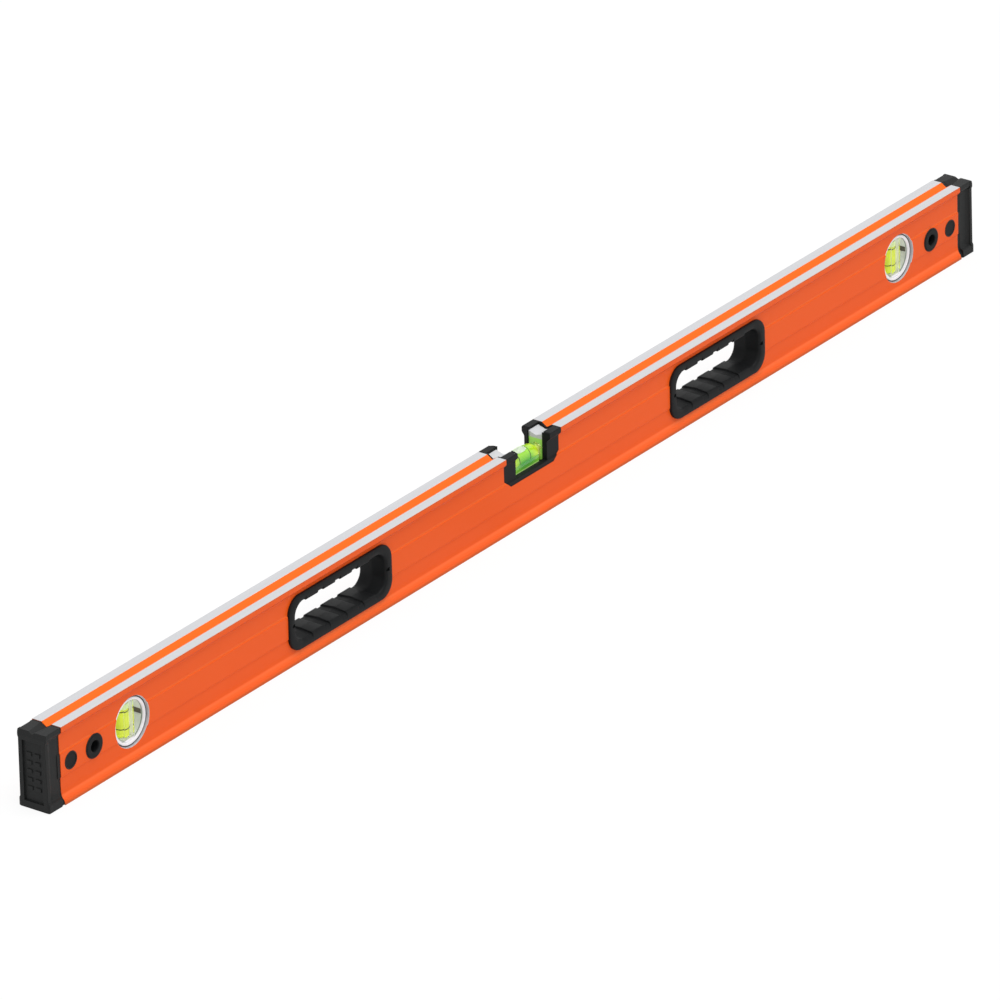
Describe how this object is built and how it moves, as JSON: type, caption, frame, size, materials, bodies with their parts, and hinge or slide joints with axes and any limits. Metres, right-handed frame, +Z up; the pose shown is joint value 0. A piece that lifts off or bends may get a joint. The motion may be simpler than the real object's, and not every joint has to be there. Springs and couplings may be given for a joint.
{
  "type": "box beam level",
  "caption": "Long hollow beam level with a V-grooved top edge, hand holes through the beam, round plumb vials, a top-read centre vial, hang holes and rubber end caps.",
  "frame": {"origin": "middle of the milled base, centred along the length and the width", "axes": "+X along the level, +Z up from the base to the grooved top edge, -Y towards the read face"},
  "size_m": [1.219, 0.03, 0.064],
  "materials": {
    "powder_coat": "orange powder coat over the extrusion, milled bare on the rails and base",
    "rubber": "matte moulded",
    "black_plastic": "fine moulded texture",
    "white_plastic": "smooth",
    "clear_acrylic": "polished",
    "vial_liquid": "clear yellow-green liquid",
    "air": "air bubble",
    "line_ink": "printed line",
    "bright_plug": "bright yellow-green"
  },
  "bodies": {
    "root": {"beam": "powder_coat", "left_end_cap": "rubber", "left_cap_pin": "black_plastic", "left_grommet": "black_plastic", "left_grommet_ring": "black_plastic", "left_grip_front": "black_plastic", "left_grip_rear": "black_plastic", "left_plumb_housing_front": "white_plastic", "left_plumb_housing_rear": "white_plastic", "left_plumb_block": "clear_acrylic", "left_plumb_liquid": "vial_liquid", "left_plumb_bubble": "air", "left_plumb_lines": "line_ink", "left_plumb_plug": "white_plastic", "right_end_cap": "rubber", "right_cap_pin": "black_plastic", "right_grommet": "black_plastic", "right_grommet_ring": "black_plastic", "right_grip_front": "black_plastic", "right_grip_rear": "black_plastic", "right_plumb_housing_front": "white_plastic", "right_plumb_housing_rear": "white_plastic", "right_plumb_block": "clear_acrylic", "right_plumb_liquid": "vial_liquid", "right_plumb_bubble": "air", "right_plumb_lines": "line_ink", "right_plumb_plug": "white_plastic", "centre_frame_front": "black_plastic", "centre_frame_rear": "black_plastic", "centre_mount_left": "clear_acrylic", "centre_mount_right": "clear_acrylic", "centre_vial": "clear_acrylic", "centre_vial_plug_left": "bright_plug", "centre_vial_plug_right": "bright_plug", "centre_liquid": "vial_liquid", "centre_bubble": "air", "centre_rings": "line_ink"}
  },
  "joints": []
}
